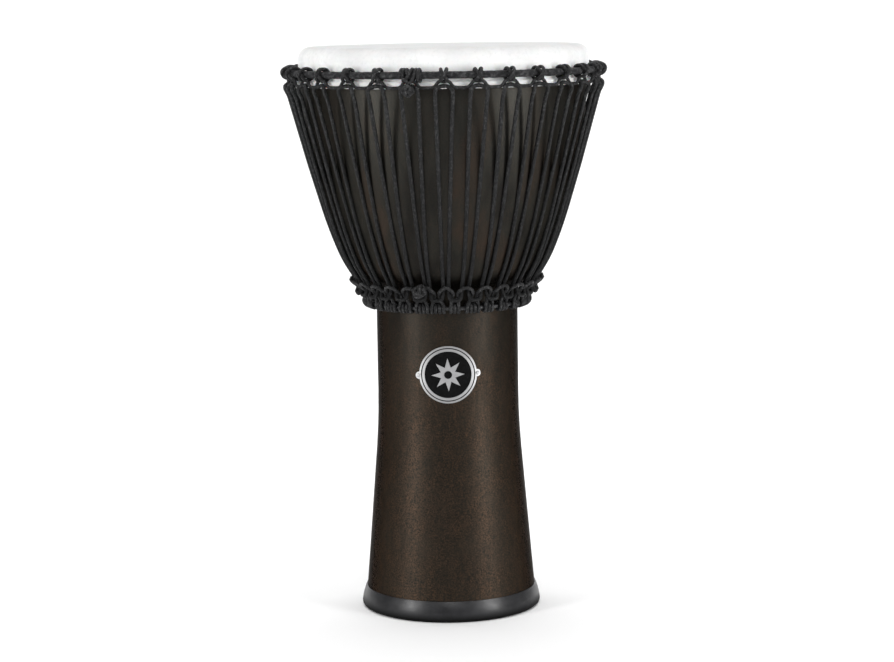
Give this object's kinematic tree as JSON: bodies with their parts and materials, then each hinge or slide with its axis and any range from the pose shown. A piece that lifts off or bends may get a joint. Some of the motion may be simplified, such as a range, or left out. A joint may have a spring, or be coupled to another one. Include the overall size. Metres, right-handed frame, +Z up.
{
  "type": "djembe",
  "caption": "Rope-tuned goblet hand drum with a white synthetic head, black rope tuning, a round badge and a rubber foot.",
  "frame": {"origin": "centre of the foot's rest face, on the drum's axis", "axes": "+Z up along the drum's axis, the badge faces -Y, +X to the right of the badge as seen from the front"},
  "size_m": [0.3514, 0.3577, 0.622],
  "materials": {
    "shell": "satin moulded shell, dark antique copper, fine leathery grain",
    "rubber": "satin charcoal rubber",
    "head": "white synthetic drum head, faintly mottled",
    "steel": "plain steel rod",
    "wrap": "black fibrous wrap on the crown ring",
    "rope": "black braided low-stretch rope",
    "black_metal": "black coated steel rod",
    "badge_metal": "bright silver metal",
    "badge_black": "gloss black enamel"
  },
  "bodies": {
    "shell": {"shell": "shell", "foot_ring": "rubber", "head": "head", "tuning_rope": "rope", "lower_ring": "black_metal", "lower_cradle_rope": "rope", "lower_knot": "rope", "badge_plate": "badge_metal", "badge_inlay": "badge_black", "badge_emblem": "badge_metal", "badge_pins": "badge_metal"},
    "crown": {"crown_ring": "steel", "crown_ring_wrap": "wrap", "crown_cradle_rope": "rope", "crown_tail_turns": "rope", "crown_knot": "rope", "flesh_hoop": "steel"}
  },
  "joints": [
    {"name": "crown_tuning", "type": "slide", "parent": "shell", "child": "crown", "axis": [0, 0, -1], "range_m": [-0.003, 0.005], "deforming": ["tuning_rope", "head"]}
  ]
}
